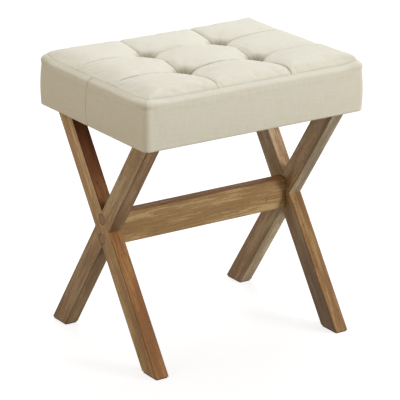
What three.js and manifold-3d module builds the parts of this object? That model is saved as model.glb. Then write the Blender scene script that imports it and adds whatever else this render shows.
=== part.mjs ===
// X-frame stool: a tufted, upholstered seat bolted onto two crossed wooden frames,
// which one stretcher joins at their crossings.
// Lengths are millimetres. +Z is up, the floor is z = 0, and the seat's long side runs along X.
import * as THREE from "three";
import { mergeVertices } from "three/addons/utils/BufferGeometryUtils.js";
import Module from "manifold-3d";

// Fits
const clearance = 0.3; // between any two pieces that touch
const overrun = 2; // how far a cutter reaches past the face that it opens

// Crossed frames
const frameHeight = 390; // floor to the tops of the legs
const frameSetback = 21; // of a frame's outer face from the side of the seat
const footSetback = 20; // of a foot's centre from the front or back of the seat
const crossingHeight = 214.5;
const legWidth = 36; // square to the leg's length
const legThickness = 25; // along X
const legEase = 1.2; // rounding of the sawn edges
const footPadThickness = 2;
const footPadInset = 1.5; // from the edge of the foot

// Stretcher
const stretcherHeight = 54.5;
const stretcherThickness = 22.5;
const stretcherDrop = 1.5; // of its middle below the crossing
const stretcherEase = 1.5; // rounding of its ends
const stretcherEdgeRadius = 2.25; // of its long edges

// Screws that hold the stretcher, and the wooden plugs over their heads
const plugDiameter = 18;
const plugThickness = 4.5;
const plugEase = 0.6;
const plugPitch = 35; // upper plug to lower plug
const stretcherScrewDiameter = 6.5;
const stretcherScrewLength = 72; // under the head
const stretcherScrewHeadDiameter = 13;
const stretcherScrewHeadHeight = 3;

// Steel straps on the leg tops, with wood screws down into the legs and bolts up into the seat
const strapThickness = 3;
const strapSideInset = 1.5; // from the faces of the legs
const strapEndInset = 3; // from the outer edge of the leg top
const strapCornerRadius = 4;
const legScrewDiameter = 4.2;
const legScrewHeadDiameter = 8.2;
const legScrewHeadHeight = 2;
const legScrewLength = 24;
const legScrewPitch = 15;
const seatBoltDiameter = 6;
const seatBoltHeadDiameter = 12;
const seatBoltHeadHeight = 3.5;
const seatBoltSetback = 20; // from the inner edge of a leg top
const nutFlangeDiameter = 19;
const nutFlangeThickness = 1.5;
const nutBarrelWall = 1.2;
const nutBarrelLength = 9;

// Seat
const seatLength = 437; // side to side, at the rolled top edge
const seatDepth = 332; // front to back, at the rolled top edge
const boxingHeight = 84.5; // underside of the cover to the top seam
const boardThickness = 12;
const dustCoverThickness = 0.8;
const dustCoverInset = 10;
const coverThickness = 2.5; // fabric with its wadding
const hemWidth = 20; // of the cover turned under the board
const seamInset = 6; // of the top seam from the side of the seat
const seamCornerRadius = 14;
const rollRise = 0.6; // of the rolled edge above the top seam
const rollDrop = 9.5; // from the top seam to the widest part of the roll
const rollCornerRadius = 14;
const tuckDrop = 12; // from the top seam to the tuck under the roll
const tuckDepth = 0.4;
const sideBulge = 1; // of the boxing beyond the rolled edge
const sideCornerRadius = 14;
const undersideRadius = 3;
const crownHeight = 11.5; // of the padding above the top seam
const crownRun = 7; // over which the padding rises from the seam
const longLineDepth = 0.8; // of the sewn lines along the seat's length
const shortLineDepth = 2.2; // of the sewn lines along its depth
const lineReach = 7; // across a sewn line
const valleyDepth = 3; // by which the sewn lines lie deeper beside a tuft
const valleyReach = 36; // along a sewn line
const bowlDepth = 10.5; // by which a tuft draws the padding round it down
const bowlReach = 42;
const tuftDepth = 16; // of the hole in the middle of that bowl
const tuftReach = 11;

// Ties that pull the tufts down
const tieDiameter = 2.4;
const tieButtonDiameter = 10;
const tieButtonThickness = 1.5;
const tieAnchorDiameter = 13;
const tieAnchorThickness = 1.2;

// Shares of the sizes above
const tuftShare = 1 / 6; // of the seat's length and depth, from its middle
const linePower = 1.2; // how fast a sewn line's dip opens
const bowlPower = 1.4; // how fast the bowl round a tuft opens
const valleyPower = 2; // how fast a valley ends along its sewn line
const holePower = 2.5; // how fast a tuft's hole opens
const cornerShares = [0, 0.45, 1]; // of the seam's corner radius
const longPanelShares = [0.55, 0.88, 1]; // from the corner's end to the tuft line
const shortPanelShares = [0.6, 0.86, 1];
const longMiddleShares = [0.16, 0.5, 1]; // from the tuft line to the middle
const shortMiddleShares = [0.2, 1];
const rollCrestShare = 0.75; // of the seam inset
const bulgeHeightShares = [0.66, 0.33]; // of the boxing, between which it bulges most
const screwTipShare = 0.35; // of a wood screw's diameter
const screwTaperShare = 1.2; // tip length over diameter

// Facets round one turn
const plugFacets = 32;
const screwFacets = 14;
const cornerFacets = 6;
const easeFacets = 2;

const finishes = {
  wood: { color: 0x94754e, roughness: 0.55, metalness: 0 },
  woodPlug: { color: 0x7f6248, roughness: 0.6, metalness: 0 },
  plywood: { color: 0xc2a878, roughness: 0.7, metalness: 0 },
  fabric: { color: 0xe3dfce, roughness: 0.8, metalness: 0 },
  foam: { color: 0xe9dfb4, roughness: 0.95, metalness: 0 },
  dustCloth: { color: 0x22211f, roughness: 0.95, metalness: 0 },
  blackSteel: { color: 0x2b2b2d, roughness: 0.5, metalness: 0.8 },
  zincSteel: { color: 0xb4b6b8, roughness: 0.35, metalness: 1 },
  felt: { color: 0x3a2f26, roughness: 0.95, metalness: 0 },
  twine: { color: 0xd9d2bd, roughness: 0.9, metalness: 0 },
};

// Places worked out from the sizes
const frameSpan = seatLength - 2 * frameSetback; // outer face to outer face
const footSpread = seatDepth - 2 * footSetback; // between the centres of one frame's feet
const lean = footSpread / 2 / crossingHeight; // sideways run of a leg for each unit of rise
const legHalfWidth = (legWidth / 2) * Math.hypot(1, lean); // along the floor
const legFoot = footPadThickness + clearance;
const frameMiddle = frameSpan / 2 - legThickness / 2;
const outerFace = legThickness / 2;
const legCentreAt = (height) => lean * (crossingHeight - height);
const legTopOffset = -legCentreAt(frameHeight);
const seatBoltOffset = legTopOffset - legHalfWidth - seatBoltSetback;
const plugFloor = outerFace - plugThickness;
const screwSeat = plugFloor - clearance - stretcherScrewHeadHeight;
const stretcherLength = frameSpan - 2 * (legThickness + clearance);
const strapBottom = frameHeight + clearance;
const strapTop = strapBottom + strapThickness;
const dustCoverBottom = strapTop + clearance;
const seatBottom = dustCoverBottom + dustCoverThickness + clearance;
const boardBottom = seatBottom + coverThickness + clearance;
const boardTop = boardBottom + boardThickness;
const foamBottom = boardTop + clearance;
const seamHeight = seatBottom + boxingHeight;
const tuftX = seatLength * tuftShare;
const tuftY = seatDepth * tuftShare;
const nutFloor = boardTop - nutFlangeThickness - clearance;
const boltHoleRadius = seatBoltDiameter / 2 + clearance;
const tuftPlaces = [-1, 1].flatMap((x) => [-1, 1].map((y) => ({ x: x * tuftX, y: y * tuftY })));

const wasm = await Module();
wasm.setup();

// Solids for cutting

function solidOf(geometry) {
  const bare = geometry.clone();
  bare.deleteAttribute("normal");
  bare.deleteAttribute("uv");
  const welded = mergeVertices(bare);
  return new wasm.Manifold(new wasm.Mesh({
    numProp: 3,
    vertProperties: Float32Array.from(welded.attributes.position.array),
    triVerts: Uint32Array.from(welded.index.array),
  }));
}

function geometryOf(solid) {
  const { vertProperties, triVerts } = solid.getMesh();
  const geometry = new THREE.BufferGeometry();
  geometry.setAttribute("position", new THREE.BufferAttribute(Float32Array.from(vertProperties), 3));
  geometry.setIndex(new THREE.BufferAttribute(Uint32Array.from(triVerts), 1));
  geometry.computeVertexNormals();
  return geometry;
}

function cut(geometry, cutters) {
  return geometryOf(cutters.reduce((solid, cutter) => solid.subtract(solidOf(cutter)), solidOf(geometry)));
}

// A round piece or cutter on the Z axis, from its radius at each height, lowest first
function turned(profile, facets) {
  const points = profile.map(([radius, height]) => new THREE.Vector2(radius, height));
  return new THREE.LatheGeometry(points, facets).rotateX(Math.PI / 2);
}

function rod(radius, bottom, top, facets = screwFacets) {
  return turned([[0, bottom], [radius, bottom], [radius, top], [0, top]], facets);
}

// A hole right through whatever lies between bottom and top
function throughHole(radius, bottom, top, x, y) {
  return rod(radius, bottom - overrun, top + overrun).translate(x, y, 0);
}

function roundedRectangle(width, depth, radius) {
  const [x, y] = [width / 2, depth / 2];
  const shape = new THREE.Shape();
  shape.moveTo(x - radius, -y);
  shape.absarc(x - radius, -y + radius, radius, -Math.PI / 2, 0);
  shape.absarc(x - radius, y - radius, radius, 0, Math.PI / 2);
  shape.absarc(-x + radius, y - radius, radius, Math.PI / 2, Math.PI);
  shape.absarc(-x + radius, -y + radius, radius, Math.PI, 1.5 * Math.PI);
  return shape;
}

function plate(width, depth, radius, bottom, top) {
  const shape = roundedRectangle(width, depth, radius);
  const settings = { depth: top - bottom, bevelEnabled: false, curveSegments: cornerFacets };
  return new THREE.ExtrudeGeometry(shape, settings).translate(0, 0, bottom);
}

function piece(name, geometry, finish) {
  const mesh = new THREE.Mesh(geometry, new THREE.MeshStandardMaterial(finishes[finish]));
  mesh.name = name;
  return mesh;
}

// Legs. In a leg's own frame x runs front to back, y is up and z points out of the stool.
// The outer leg of a frame has its foot at +x, the inner leg at -x.

function legOutline(foot, halfWidth, bottom, top) {
  const corner = (height, side) => new THREE.Vector2(foot * legCentreAt(height) + side * halfWidth, height);
  return new THREE.Shape([corner(bottom, -1), corner(bottom, 1), corner(top, 1), corner(top, -1)]);
}

function legBlank(foot) {
  const settings = {
    depth: legThickness - 2 * legEase,
    bevelThickness: legEase,
    bevelSize: legEase,
    bevelOffset: -legEase,
    bevelSegments: easeFacets,
  };
  const outline = legOutline(foot, legHalfWidth, legFoot, frameHeight);
  return new THREE.ExtrudeGeometry(outline, settings).translate(0, 0, legEase - legThickness / 2);
}

// The half-lap notch: the other leg's path, on the half of the thickness that it takes
function lapCutter(foot) {
  const halfWidth = legHalfWidth + clearance * Math.hypot(1, lean);
  const outline = legOutline(-foot, halfWidth, legFoot - overrun, frameHeight + overrun);
  const settings = { depth: outerFace + overrun + clearance / 2, bevelEnabled: false };
  const inward = -outerFace - overrun;
  const outward = -clearance / 2;
  return new THREE.ExtrudeGeometry(outline, settings).translate(0, 0, foot > 0 ? inward : outward);
}

function crossingBores() {
  return [-1, 1].flatMap((level) => {
    const height = crossingHeight + (level * plugPitch) / 2;
    const shankRadius = stretcherScrewDiameter / 2 + clearance;
    const plugRadius = plugDiameter / 2 + clearance;
    const through = rod(shankRadius, -outerFace - overrun, outerFace + overrun);
    const counterbore = rod(plugRadius, screwSeat - clearance, outerFace + overrun, plugFacets);
    return [through.translate(0, height, 0), counterbore.translate(0, height, 0)];
  });
}

function legScrewPlaces(foot) {
  return [0, 1].map((step) => -foot * (legTopOffset - step * legScrewPitch));
}

function legScrewPilots(foot) {
  const depth = legScrewLength - strapThickness;
  return legScrewPlaces(foot).map((x) => {
    const pilot = rod(legScrewDiameter / 2 + clearance, -depth - clearance, overrun);
    return pilot.rotateX(-Math.PI / 2).translate(x, frameHeight, 0);
  });
}

function leg(name, foot) {
  const geometry = cut(legBlank(foot), [lapCutter(foot), ...crossingBores(), ...legScrewPilots(foot)]);
  const mesh = piece(name, geometry, "wood");
  mesh.rotation.set(Math.PI / 2, 0, Math.PI / 2, "ZYX");
  return mesh;
}

function footPad(name, foot) {
  const width = legThickness - 2 * footPadInset;
  const depth = 2 * (legHalfWidth - footPadInset);
  const mesh = piece(name, plate(width, depth, footPadInset, 0, footPadThickness), "felt");
  mesh.position.y = foot * legCentreAt(legFoot);
  return mesh;
}

// Plugs and stretcher screws lie along the frame's outward axis

function onOutwardAxis(mesh, level) {
  mesh.rotation.y = Math.PI / 2;
  mesh.position.z = crossingHeight + (level * plugPitch) / 2;
  return mesh;
}

function plug(name, level) {
  const radius = plugDiameter / 2;
  const profile = [
    [0, plugFloor],
    [radius, plugFloor],
    [radius, outerFace - plugEase],
    [radius - plugEase, outerFace],
    [0, outerFace],
  ];
  return onOutwardAxis(piece(name, turned(profile, plugFacets), "woodPlug"), level);
}

function stretcherScrew(name, level) {
  const radius = stretcherScrewDiameter / 2;
  const tip = screwSeat - stretcherScrewLength;
  const profile = [
    [0, tip],
    [radius * screwTipShare, tip],
    [radius, tip + stretcherScrewDiameter * screwTaperShare],
    [radius, screwSeat],
    [stretcherScrewHeadDiameter / 2, screwSeat],
    [stretcherScrewHeadDiameter / 2, plugFloor - clearance],
    [0, plugFloor - clearance],
  ];
  return onOutwardAxis(piece(name, turned(profile, screwFacets), "zincSteel"), level);
}

// Strap and its screws. Their frame has its origin on the floor under the crossing.

function countersunkProfile(margin, tip, top) {
  const shank = legScrewDiameter / 2 + margin;
  const head = legScrewHeadDiameter / 2 + margin;
  return [[0, tip], [shank, tip], [shank, top - legScrewHeadHeight], [head, top], [0, top]];
}

function strap(name) {
  const length = 2 * (legTopOffset + legHalfWidth - strapEndInset);
  const width = legThickness - 2 * strapSideInset;
  const blank = plate(width, length, strapCornerRadius, strapBottom, strapTop);
  const profile = countersunkProfile(clearance, strapBottom - overrun, strapTop);
  const head = legScrewHeadDiameter / 2 + clearance;
  const openTop = [...profile.slice(0, -1), [head, strapTop + overrun], [0, strapTop + overrun]];
  const screwHole = (y) => turned(openTop, screwFacets).translate(0, y, 0);
  const screwHoles = [-1, 1].flatMap(legScrewPlaces).map(screwHole);
  const boltHoles = [-1, 1].map((side) => {
    return throughHole(boltHoleRadius, strapBottom, strapTop, 0, side * seatBoltOffset);
  });
  return piece(name, cut(blank, [...screwHoles, ...boltHoles]), "blackSteel");
}

function legScrew(name, y) {
  const tip = strapTop - legScrewLength;
  const [, shankFoot, ...upper] = countersunkProfile(0, tip, strapTop);
  const taperTop = tip + legScrewDiameter * screwTaperShare;
  const profile = [[0, tip], [shankFoot[0] * screwTipShare, tip], [shankFoot[0], taperTop], ...upper];
  const mesh = piece(name, turned(profile, screwFacets), "zincSteel");
  mesh.position.y = y;
  return mesh;
}

function seatBolt(name, y) {
  const shank = seatBoltDiameter / 2;
  const head = seatBoltHeadDiameter / 2;
  const headTop = strapBottom - clearance;
  const profile = [
    [0, headTop - seatBoltHeadHeight],
    [head, headTop - seatBoltHeadHeight],
    [head, headTop],
    [shank, headTop],
    [shank, boardTop - nutFlangeThickness],
    [0, boardTop - nutFlangeThickness],
  ];
  const mesh = piece(name, turned(profile, screwFacets), "blackSteel");
  mesh.position.y = y;
  return mesh;
}

function nut(name, y) {
  const bore = boltHoleRadius;
  const barrel = bore + nutBarrelWall;
  const flange = nutFlangeDiameter / 2;
  const flangeFoot = nutFloor + clearance;
  const barrelFoot = boardTop - nutBarrelLength;
  const profile = [
    [bore, barrelFoot],
    [barrel, barrelFoot],
    [barrel, flangeFoot],
    [flange, flangeFoot],
    [flange, boardTop],
    [bore, boardTop],
    [bore, barrelFoot],
  ];
  const mesh = piece(name, turned(profile, screwFacets), "zincSteel");
  mesh.position.y = y;
  return mesh;
}

// One crossed frame with its hardware. Local x points out of the stool. The frame on the left
// is the same frame turned half round, so its outer leg stands on the front foot.
function crossedFrame(name, side) {
  const frame = new THREE.Group();
  const footName = (foot) => (foot * side > 0 ? "back" : "front");
  for (const foot of [1, -1]) {
    frame.add(leg(`${name}_leg_${footName(foot)}_foot`, foot));
    frame.add(footPad(`${name}_foot_pad_${footName(foot)}`, foot));
    legScrewPlaces(-foot).forEach((y, step) => {
      frame.add(legScrew(`${name}_leg_screw_${footName(foot)}_${step + 1}`, y));
    });
    frame.add(seatBolt(`${name}_seat_bolt_${footName(foot)}`, foot * seatBoltOffset));
    frame.add(nut(`${name}_seat_nut_${footName(foot)}`, foot * seatBoltOffset));
  }
  for (const [levelName, level] of [["upper", 1], ["lower", -1]]) {
    frame.add(plug(`${name}_plug_${levelName}`, level));
    frame.add(stretcherScrew(`${name}_stretcher_screw_${levelName}`, level));
  }
  frame.add(strap(`${name}_mounting_strap`));
  frame.position.x = side * frameMiddle;
  frame.rotation.z = side > 0 ? 0 : Math.PI;
  return frame;
}

// The stretcher is drawn upright, end to end along z, with x front to back and y up
function stretcher() {
  const settings = {
    depth: stretcherLength - 2 * stretcherEase,
    bevelThickness: stretcherEase,
    bevelSize: stretcherEase,
    bevelOffset: -stretcherEase,
    bevelSegments: easeFacets,
    curveSegments: easeFacets,
  };
  const outline = roundedRectangle(stretcherThickness, stretcherHeight, stretcherEdgeRadius);
  const blank = new THREE.ExtrudeGeometry(outline, settings);
  blank.translate(0, 0, stretcherEase - stretcherLength / 2);
  const reach = stretcherScrewLength - (screwSeat + outerFace + clearance);
  const bores = [-1, 1].flatMap((end) => [-1, 1].map((level) => {
    const bore = rod(stretcherScrewDiameter / 2 + clearance, -reach - clearance, overrun);
    if (end < 0) bore.rotateY(Math.PI);
    return bore.translate(0, stretcherDrop + (level * plugPitch) / 2, (end * stretcherLength) / 2);
  }));
  const mesh = piece("stretcher", cut(blank, bores), "wood");
  mesh.rotation.set(Math.PI / 2, 0, Math.PI / 2, "ZYX");
  mesh.position.z = crossingHeight - stretcherDrop;
  return mesh;
}

// Seat board and dust cover

function seatBoltPlaces() {
  return [-1, 1].flatMap((side) => [-1, 1].map((end) => {
    return { x: side * frameMiddle, y: end * seatBoltOffset };
  }));
}

function seatBoard() {
  const inset = coverThickness + clearance;
  const radius = sideCornerRadius - coverThickness - clearance;
  const blank = plate(seatLength - 2 * inset, seatDepth - 2 * inset, radius, boardBottom, boardTop);
  const barrelRadius = boltHoleRadius + nutBarrelWall + clearance;
  const flangeRadius = nutFlangeDiameter / 2 + clearance;
  const nutHoles = seatBoltPlaces().flatMap(({ x, y }) => [
    throughHole(barrelRadius, boardBottom, boardTop, x, y),
    rod(flangeRadius, nutFloor, boardTop + overrun).translate(x, y, 0),
  ]);
  const tieHoles = tuftPlaces.map(({ x, y }) => {
    return throughHole(tieDiameter / 2 + clearance, boardBottom, boardTop, x, y);
  });
  return piece("seat_board", cut(blank, [...nutHoles, ...tieHoles]), "plywood");
}

function dustCover() {
  const top = dustCoverBottom + dustCoverThickness;
  const [width, depth] = [seatLength - 2 * dustCoverInset, seatDepth - 2 * dustCoverInset];
  const blank = plate(width, depth, sideCornerRadius, dustCoverBottom, top);
  const holes = seatBoltPlaces().map(({ x, y }) => throughHole(boltHoleRadius, dustCoverBottom, top, x, y));
  return piece("dust_cover", cut(blank, holes), "dustCloth");
}

// Cushion. The top is a grid whose lines gather at the tufts. Its border is the top seam, and
// rings of the same number of points carry the surface on down the sides and under the board.

function gridLines(half, tuftAt, panelShares, middleShares) {
  const panelStart = half - seamCornerRadius;
  const lines = [
    ...cornerShares.map((share) => half - share * seamCornerRadius),
    ...panelShares.map((share) => panelStart + share * (tuftAt - panelStart)),
    ...middleShares.map((share) => tuftAt * (1 - share)),
  ];
  return [...lines.map((place) => -place), ...lines.slice(0, -1).reverse()];
}

const xLines = gridLines(seatLength / 2 - seamInset, tuftX, longPanelShares, longMiddleShares);
const yLines = gridLines(seatDepth / 2 - seamInset, tuftY, shortPanelShares, shortMiddleShares);
const [lastX, lastY] = [xLines.length - 1, yLines.length - 1];
const borderOrder = [
  ...xLines.slice(0, -1).map((_, i) => [i, 0]),
  ...yLines.slice(0, -1).map((_, j) => [lastX, j]),
  ...xLines.slice(0, -1).map((_, i) => [lastX - i, lastY]),
  ...yLines.slice(0, -1).map((_, j) => [0, lastY - j]),
];

// Where a border point lies on a rounded rectangle that is inset from the seat's sides
function borderPoint(i, j, inset, radius) {
  const [xSide, ySide] = [i < lastX / 2 ? -1 : 1, j < lastY / 2 ? -1 : 1];
  const [fromX, fromY] = [Math.min(i, lastX - i), Math.min(j, lastY - j)];
  const [halfX, halfY] = [seatLength / 2 - inset, seatDepth / 2 - inset];
  const steps = cornerShares.length - 1;
  if (fromX <= steps && fromY <= steps) {
    const angle = ((Math.PI / 4) * (steps + fromX - fromY)) / steps;
    return [
      xSide * (halfX - radius * (1 - Math.cos(angle))),
      ySide * (halfY - radius * (1 - Math.sin(angle))),
    ];
  }
  return fromY === 0 ? [xLines[i], ySide * halfY] : [xSide * halfX, yLines[j]];
}

// How strongly a mark shows at a gap from its middle: 1 there, less and less beyond its reach
const fade = (gap, reach, power) => Math.exp(-((Math.abs(gap) / reach) ** power));

// A crown with dips along the sewn lines, and a bowl with a hole at each tuft
function topHeight(x, y) {
  const rise = (place, half) => 1 - Math.exp(-Math.max(half - Math.abs(place), 0) / crownRun);
  const edgeFade = rise(x, seatLength / 2 - seamInset) * rise(y, seatDepth / 2 - seamInset);
  const [acrossX, acrossY] = [Math.abs(x) - tuftX, Math.abs(y) - tuftY];
  const tuftGap = Math.hypot(acrossX, acrossY);
  const shortLine = fade(acrossX, lineReach, linePower);
  const longLine = fade(acrossY, lineReach, linePower);
  const valley = valleyDepth * fade(tuftGap, valleyReach, valleyPower) * Math.max(shortLine, longLine);
  const line = Math.max(shortLineDepth * shortLine, longLineDepth * longLine);
  const bowl = bowlDepth * fade(tuftGap, bowlReach, bowlPower);
  const hole = tuftDepth * fade(tuftGap, tuftReach, holePower);
  return seamHeight + (crownHeight - line - valley - bowl) * edgeFade - hole;
}

function topNormal(x, y) {
  const step = clearance;
  const slopeX = (topHeight(x + step, y) - topHeight(x - step, y)) / (2 * step);
  const slopeY = (topHeight(x, y + step) - topHeight(x, y - step)) / (2 * step);
  return new THREE.Vector3(-slopeX, -slopeY, 1).normalize();
}

// The top surface pushed down into the cushion by depth
function topPoint(i, j, depth) {
  if (i === 0 || j === 0 || i === lastX || j === lastY) {
    const [x, y] = borderPoint(i, j, seamInset + depth, seamCornerRadius - depth);
    return [x, y, seamHeight - depth];
  }
  const [x, y] = [xLines[i], yLines[j]];
  const inward = topNormal(x, y).multiplyScalar(-depth);
  return [x + inward.x, y + inward.y, topHeight(x, y) + inward.z];
}

// Whether a cell's diagonal from its lowest to its highest corner runs towards the nearest tuft
function foldsTowardsTuft(i, j) {
  const middleX = (xLines[i] + xLines[i + 1]) / 2;
  const middleY = (yLines[j] + yLines[j + 1]) / 2;
  return (middleX - Math.sign(middleX) * tuftX) * (middleY - Math.sign(middleY) * tuftY) > 0;
}

function ring({ inset, height, radius }) {
  return borderOrder.map(([i, j]) => [...borderPoint(i, j, inset, radius), height]);
}

// Collects a closed surface: caps are whole top grids, strips join one ring to the next
class Surface {
  points = [];
  faces = [];

  add(place) {
    return this.points.push(place) - 1;
  }

  quad(a, b, c, d) {
    this.faces.push(a, b, c, a, c, d);
  }

  // Adds a top grid and returns its border ring
  cap(depth, faceUp) {
    const grid = xLines.map((_, i) => yLines.map((__, j) => this.add(topPoint(i, j, depth))));
    for (let i = 0; i < lastX; i += 1) {
      for (let j = 0; j < lastY; j += 1) {
        const corners = [grid[i][j], grid[i + 1][j], grid[i + 1][j + 1], grid[i][j + 1]];
        if (!foldsTowardsTuft(i, j)) corners.push(corners.shift());
        if (!faceUp) corners.splice(1, 3, ...corners.slice(1).reverse());
        this.quad(...corners);
      }
    }
    return borderOrder.map(([i, j]) => grid[i][j]);
  }

  strip(upper, lower) {
    upper.forEach((_, k) => {
      const next = (k + 1) % upper.length;
      this.quad(lower[k], lower[next], upper[next], upper[k]);
    });
    return lower;
  }

  rings(start, rows) {
    return rows.reduce((upper, row) => this.strip(upper, ring(row).map((place) => this.add(place))), start);
  }

  closeBelow(border, height) {
    const middle = this.add([0, 0, height]);
    border.forEach((corner, k) => this.faces.push(middle, border[(k + 1) % border.length], corner));
  }

  geometry() {
    const geometry = new THREE.BufferGeometry();
    geometry.setAttribute("position", new THREE.Float32BufferAttribute(this.points.flat(), 3));
    geometry.setIndex(this.faces);
    geometry.computeVertexNormals();
    return geometry;
  }
}

// The sewn cover: crowned tufted top, rolled edge, boxing that swells a little, hem under the board
function cushionCover() {
  const cavityTop = seamHeight - tuckDrop;
  const outside = [
    { inset: seamInset * rollCrestShare, height: seamHeight + rollRise, radius: seamCornerRadius },
    { inset: 0, height: seamHeight - rollDrop, radius: rollCornerRadius },
    { inset: tuckDepth, height: seamHeight - tuckDrop, radius: sideCornerRadius },
    ...bulgeHeightShares.map((share) => {
      return { inset: -sideBulge, height: seatBottom + boxingHeight * share, radius: sideCornerRadius };
    }),
    { inset: 0, height: seatBottom + undersideRadius, radius: sideCornerRadius },
    { inset: undersideRadius, height: seatBottom, radius: sideCornerRadius - undersideRadius },
    { inset: hemWidth, height: seatBottom, radius: sideCornerRadius },
  ];
  const cavityInset = coverThickness;
  const inside = [
    { inset: hemWidth, height: seatBottom + coverThickness, radius: sideCornerRadius },
    { inset: cavityInset, height: seatBottom + coverThickness, radius: sideCornerRadius - cavityInset },
    { inset: cavityInset, height: cavityTop, radius: sideCornerRadius - cavityInset },
  ];
  const surface = new Surface();
  const hem = surface.rings(surface.cap(0, true), [...outside, ...inside]);
  surface.strip(hem, surface.cap(coverThickness, false));
  return piece("cushion_cover", surface.geometry(), "fabric");
}

// The foam block fills the cover above the board, and the ties run through it
function foamPad() {
  const depth = coverThickness + clearance;
  const sides = [
    { inset: depth, height: seamHeight - tuckDrop - clearance, radius: sideCornerRadius - coverThickness },
    { inset: depth, height: foamBottom, radius: sideCornerRadius - coverThickness },
  ];
  const surface = new Surface();
  surface.closeBelow(surface.rings(surface.cap(depth, true), sides), foamBottom);
  const buttonFoot = tieButtonTop() - tieButtonThickness;
  const tieHoles = tuftPlaces.flatMap(({ x, y }) => [
    rod(tieDiameter / 2 + clearance, foamBottom - overrun, seamHeight).translate(x, y, 0),
    rod(tieButtonDiameter / 2 + clearance, buttonFoot - clearance, seamHeight).translate(x, y, 0),
  ]);
  return piece("foam_pad", cut(surface.geometry(), tieHoles), "foam");
}

// A tie's button lies just under the cover at the bottom of its tuft
function tieButtonTop() {
  return topHeight(tuftX, tuftY) - coverThickness - clearance;
}

function tuftTie(name, place) {
  const cord = tieDiameter / 2;
  const button = tieButtonDiameter / 2;
  const anchor = tieAnchorDiameter / 2;
  const anchorTop = boardBottom - clearance;
  const buttonFoot = tieButtonTop() - tieButtonThickness;
  const profile = [
    [0, anchorTop - tieAnchorThickness],
    [anchor, anchorTop - tieAnchorThickness],
    [anchor, anchorTop],
    [cord, anchorTop],
    [cord, buttonFoot],
    [button, buttonFoot],
    [button, tieButtonTop()],
    [0, tieButtonTop()],
  ];
  const mesh = piece(name, turned(profile, screwFacets), "twine");
  mesh.position.set(place.x, place.y, 0);
  return mesh;
}

const stool = new THREE.Group();
stool.add(crossedFrame("left", -1), crossedFrame("right", 1), stretcher());
stool.add(seatBoard(), dustCover(), foamPad(), cushionCover());
tuftPlaces.forEach((place, k) => stool.add(tuftTie(`tuft_tie_${k + 1}`, place)));

export default stool;
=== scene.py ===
# %% [markdown]
# # A tufted stool on two crossed frames
#
# This lesson dresses a small stool for a product picture. The joinery comes ready made as a
# fixed frame: two crossed frames of stained rubberwood, a stretcher, plugs, straps and screws.
# What is left for Blender is everything that the eye reads as material: the sewn and tufted
# seat cover, the foam under it, the staples below, and the finish of every surface.
#
# The order is the frame, the camera, the studio, the cushion, the small parts and the finishes.

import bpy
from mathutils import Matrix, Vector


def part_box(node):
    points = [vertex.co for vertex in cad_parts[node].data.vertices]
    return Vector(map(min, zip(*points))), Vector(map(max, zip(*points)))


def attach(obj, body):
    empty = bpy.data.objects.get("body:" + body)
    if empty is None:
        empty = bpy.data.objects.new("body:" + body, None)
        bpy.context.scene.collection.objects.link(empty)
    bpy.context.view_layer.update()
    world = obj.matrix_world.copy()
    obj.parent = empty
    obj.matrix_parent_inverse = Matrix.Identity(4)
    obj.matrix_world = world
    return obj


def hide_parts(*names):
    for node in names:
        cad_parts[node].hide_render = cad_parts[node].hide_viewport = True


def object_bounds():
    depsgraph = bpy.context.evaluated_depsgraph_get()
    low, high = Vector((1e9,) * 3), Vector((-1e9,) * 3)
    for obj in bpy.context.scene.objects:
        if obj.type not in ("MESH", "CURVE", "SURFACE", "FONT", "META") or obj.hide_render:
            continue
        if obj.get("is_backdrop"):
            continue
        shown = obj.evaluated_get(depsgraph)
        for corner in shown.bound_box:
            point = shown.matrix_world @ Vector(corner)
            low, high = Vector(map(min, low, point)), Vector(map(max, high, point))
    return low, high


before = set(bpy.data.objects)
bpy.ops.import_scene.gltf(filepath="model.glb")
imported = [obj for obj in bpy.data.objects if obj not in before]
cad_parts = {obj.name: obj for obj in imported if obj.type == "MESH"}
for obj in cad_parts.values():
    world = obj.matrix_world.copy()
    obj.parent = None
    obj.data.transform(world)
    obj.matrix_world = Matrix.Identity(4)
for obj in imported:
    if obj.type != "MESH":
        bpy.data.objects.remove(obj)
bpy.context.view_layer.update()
print("pieces in the frame:", len(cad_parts))

# %% Units and shared imports
import math

import bmesh
import bpy
import numpy as np
from mathutils import Matrix, Vector

MM = 0.001

# %% [markdown]
# ## The camera
#
# A product picture like this is taken with a long lens from some way off, which keeps upright
# edges upright and both ends of the seat nearly the same size. The camera could be placed by
# eye, but it is set here as a photographer would note it: the angle round the stool, the angle
# above the floor, the distance, the lens and a slight tilt of the horizon.

# %% Place the camera
AZIMUTH = math.radians(-34.22)
ELEVATION = math.radians(19.17)
TILT = math.radians(0.43)
DISTANCE = 3.946
LOOK_AT = Vector((-1.7, -1.9, 229.6)) * MM
LENS_MM = 207.95

scene = bpy.context.scene
lens = bpy.data.cameras.new("camera")
lens.lens = LENS_MM
lens.sensor_width = 36
lens.clip_end = 40
camera = bpy.data.objects.new("camera", lens)
scene.collection.objects.link(camera)
scene.camera = camera

level = math.cos(ELEVATION)
back = Vector((math.sin(AZIMUTH) * level, -math.cos(AZIMUTH) * level, math.sin(ELEVATION)))
right = Vector((math.cos(AZIMUTH), math.sin(AZIMUTH), 0))
facing = Matrix((right, back.cross(right), back)).transposed()
camera.matrix_world = Matrix.LocRotScale(LOOK_AT + DISTANCE * back, None, None) @ (
    facing @ Matrix.Rotation(TILT, 3, "Z")
).to_4x4()
print("camera stands at", [round(value, 3) for value in camera.location])

# %% [markdown]
# ## Nodes and colours
#
# Every finish below is a small network of nodes. One function adds a node, sets its properties
# and fills its sockets, either with a value or with a link. A link may name a whole node, and
# then takes its first output. Colours are written as they look on a screen, in hex, and turned
# to the linear values that light is reckoned in.

# %% Helpers for colours and nodes


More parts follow.
